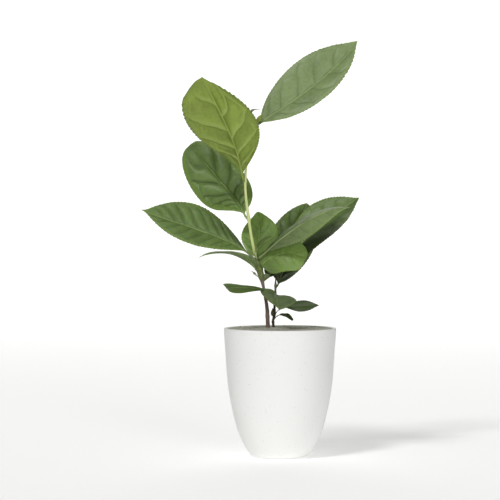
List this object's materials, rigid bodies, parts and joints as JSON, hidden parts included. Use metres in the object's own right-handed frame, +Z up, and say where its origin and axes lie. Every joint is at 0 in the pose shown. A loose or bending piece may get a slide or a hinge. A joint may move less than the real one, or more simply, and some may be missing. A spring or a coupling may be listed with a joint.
{
  "type": "potted young tea plant",
  "caption": "Young tea plant with two thin woody stems, toothed leathery leaves on short stalks and a tip bud, growing in soil in a round white tapering pot.",
  "frame": {"origin": "centre of the pot's flat underside", "axes": "+Z up, the pictured front looks along -Y, +X to the right as seen from the front"},
  "size_m": [0.1752, 0.0908, 0.3345],
  "materials": {
    "pot": "matte white with a very fine grey speckle",
    "soil": "dull grey-brown potting soil",
    "stem_main": "brown-grey bark below, smooth yellow-green above",
    "stem_second": "dark grey-brown bark",
    "leaf_young": "satin yellow-green young leaf",
    "leaf_green": "satin mid-green leathery leaf",
    "leaf_dark": "glossy dark green leathery leaf",
    "bud": "smooth green bud scale"
  },
  "bodies": {
    "root": {"pot": "pot", "soil": "soil", "stem_main": "stem_main", "stem_second": "stem_second", "bud_tip": "bud", "bud_axil": "bud", "leaf_top_front": "leaf_young", "leaf_top_right": "leaf_green", "leaf_upper_left": "leaf_green", "leaf_left_long": "leaf_green", "leaf_left_edge": "leaf_young", "leaf_centre_upright": "leaf_green", "leaf_young_axil": "leaf_young", "leaf_right_front": "leaf_green", "leaf_right_low_front": "leaf_green", "leaf_second_back": "leaf_dark", "leaf_right_back": "leaf_green", "leaf_low_left": "leaf_green", "leaf_low_right": "leaf_green", "leaf_low_far_right": "leaf_dark", "leaf_small_low": "leaf_dark", "leaf_top_sliver": "leaf_young", "scale_low": "bud"}
  },
  "joints": []
}
